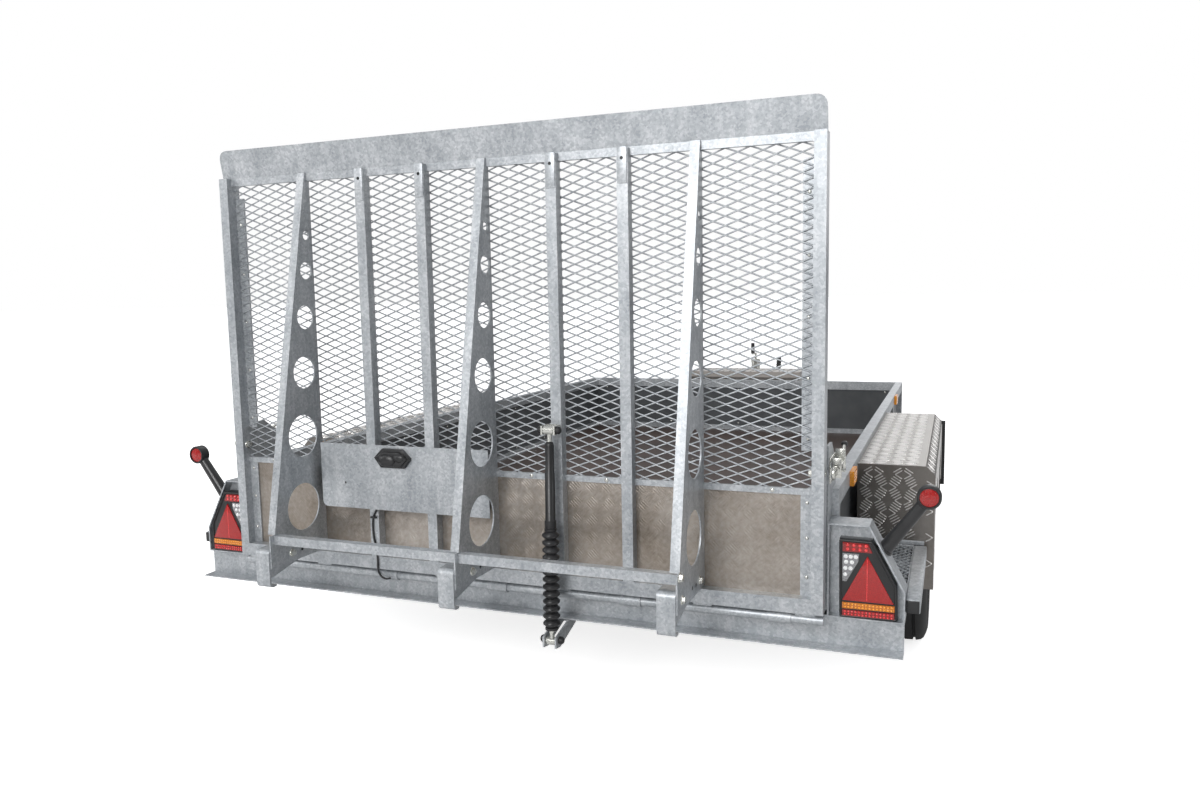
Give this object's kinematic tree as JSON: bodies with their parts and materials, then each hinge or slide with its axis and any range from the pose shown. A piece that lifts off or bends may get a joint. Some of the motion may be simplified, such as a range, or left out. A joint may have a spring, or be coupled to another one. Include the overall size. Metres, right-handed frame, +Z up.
{
  "type": "equipment trailer",
  "caption": "Twin-axle plant trailer with a full-width expanded-mesh loading ramp stowed upright, tread-plate mudguards, drawbar, toolbox and jockey wheel.",
  "frame": {"origin": "on the ground under the middle of the trailer's bounding box", "axes": "+X to the trailer's right, +Y forward towards the coupling, +Z up"},
  "size_m": [2.358, 4.952, 1.621],
  "materials": {
    "galvanised": "hot-dip galvanised steel, spangled satin",
    "tread_aluminium": "mill-finish five-bar tread plate",
    "floor_ply": "dark phenolic film-faced plywood",
    "dark_panel": "dark grey coated steel sheet",
    "black_plastic": "black moulded plastic",
    "lamp_lens": "red lens in black frame",
    "amber_lens": "amber lens",
    "tyre_rubber": "black rubber",
    "rim_steel": "silver painted steel",
    "rubber": "black rubber",
    "zinc": "bright zinc plated steel"
  },
  "bodies": {
    "trailer": {"chassis_rails": "galvanised", "cross_members": "galvanised", "rear_beam": "galvanised", "strut_bracket": "galvanised", "side_wall_left": "galvanised", "side_wall_right": "galvanised", "front_wall": "galvanised", "latch_posts": "galvanised", "light_boxes": "galvanised", "side_steps": "galvanised", "axle_rear": "galvanised", "axle_front": "galvanised", "drawbar_left": "galvanised", "drawbar_right": "galvanised", "mudguard_left": "tread_aluminium", "mudguard_right": "tread_aluminium", "toolbox": "tread_aluminium", "bed_floor": "floor_ply", "wall_panels": "dark_panel", "tail_lamps": "lamp_lens", "marker_lamps": "lamp_lens", "side_markers": "amber_lens", "mudflaps": "rubber", "handbrake_lever": "rubber", "coupling_housing": "zinc", "coupling_head": "zinc", "jockey_clamp": "zinc", "jockey_crank": "zinc"},
    "ramp": {"ramp_frame": "galvanised", "ramp_mesh": "galvanised", "ramp_sheet": "tread_aluminium", "ramp_lip": "galvanised", "ramp_fins": "galvanised", "ramp_crossbar": "galvanised", "ramp_feet": "galvanised", "plate_holder": "galvanised", "plate_lamp": "black_plastic", "lamp_cable": "rubber", "strut_clevis": "zinc"},
    "strut_barrel": {"strut_cylinder": "black_plastic"},
    "strut_shaft": {"strut_rod": "zinc", "strut_bellows": "rubber"},
    "lid": {"toolbox_lid": "tread_aluminium"},
    "jockey_slider": {"jockey_leg": "zinc"},
    "jockey_caster": {"jockey_fork": "zinc"},
    "jockey_roller": {"jockey_wheel": "rubber"},
    "wheel_rear_right": {"tyre_rear_right": "tyre_rubber", "rim_rear_right": "rim_steel"},
    "wheel_rear_left": {"tyre_rear_left": "tyre_rubber", "rim_rear_left": "rim_steel"},
    "wheel_front_right": {"tyre_front_right": "tyre_rubber", "rim_front_right": "rim_steel"},
    "wheel_front_left": {"tyre_front_left": "tyre_rubber", "rim_front_left": "rim_steel"}
  },
  "joints": [
    {"name": "ramp_hinge", "type": "hinge", "parent": "trailer", "child": "ramp", "pos_m": [0, -2.23, 0.343], "axis": [1, 0, 0], "range_deg": [0, 105]},
    {"name": "strut_swing", "type": "hinge", "parent": "ramp", "child": "strut_barrel", "pos_m": [0.193, -2.28, 0.807], "axis": [1, 0, 0], "range_deg": [-8, 0]},
    {"name": "strut_slide", "type": "slide", "parent": "strut_barrel", "child": "strut_shaft", "axis": [0, 0.0276, 0.9996], "range_m": [0, 0.2145], "deforming": ["strut_bellows"]},
    {"name": "lid_hinge", "type": "hinge", "parent": "trailer", "child": "lid", "pos_m": [0, 0.953, 0.64], "axis": [1, 0, 0], "range_deg": [0, 95]},
    {"name": "jockey_slide", "type": "slide", "parent": "trailer", "child": "jockey_slider", "axis": [0, 0, 1], "range_m": [-0.1, 0.048]},
    {"name": "jockey_swivel", "type": "hinge", "parent": "jockey_slider", "child": "jockey_caster", "pos_m": [-0.135, 2.025, 0.2], "axis": [0, 0, 1], "continuous": true},
    {"name": "jockey_spin", "type": "hinge", "parent": "jockey_caster", "child": "jockey_roller", "pos_m": [-0.135, 1.97, 0.1], "axis": [1, 0, 0], "continuous": true},
    {"name": "spin_rear_right", "type": "hinge", "parent": "trailer", "child": "wheel_rear_right", "pos_m": [1.04, -1.32, 0.2625], "axis": [1, 0, 0], "continuous": true},
    {"name": "spin_rear_left", "type": "hinge", "parent": "trailer", "child": "wheel_rear_left", "pos_m": [-1.04, -1.32, 0.2625], "axis": [1, 0, 0], "continuous": true},
    {"name": "spin_front_right", "type": "hinge", "parent": "trailer", "child": "wheel_front_right", "pos_m": [1.04, -0.68, 0.2625], "axis": [1, 0, 0], "continuous": true},
    {"name": "spin_front_left", "type": "hinge", "parent": "trailer", "child": "wheel_front_left", "pos_m": [-1.04, -0.68, 0.2625], "axis": [1, 0, 0], "continuous": true}
  ],
  "couplings": [
    {"joint": "strut_swing", "follows": "ramp_hinge", "ratio": -0.054},
    {"joint": "strut_slide", "follows": "ramp_hinge", "m_per_rad": 0.116}
  ]
}
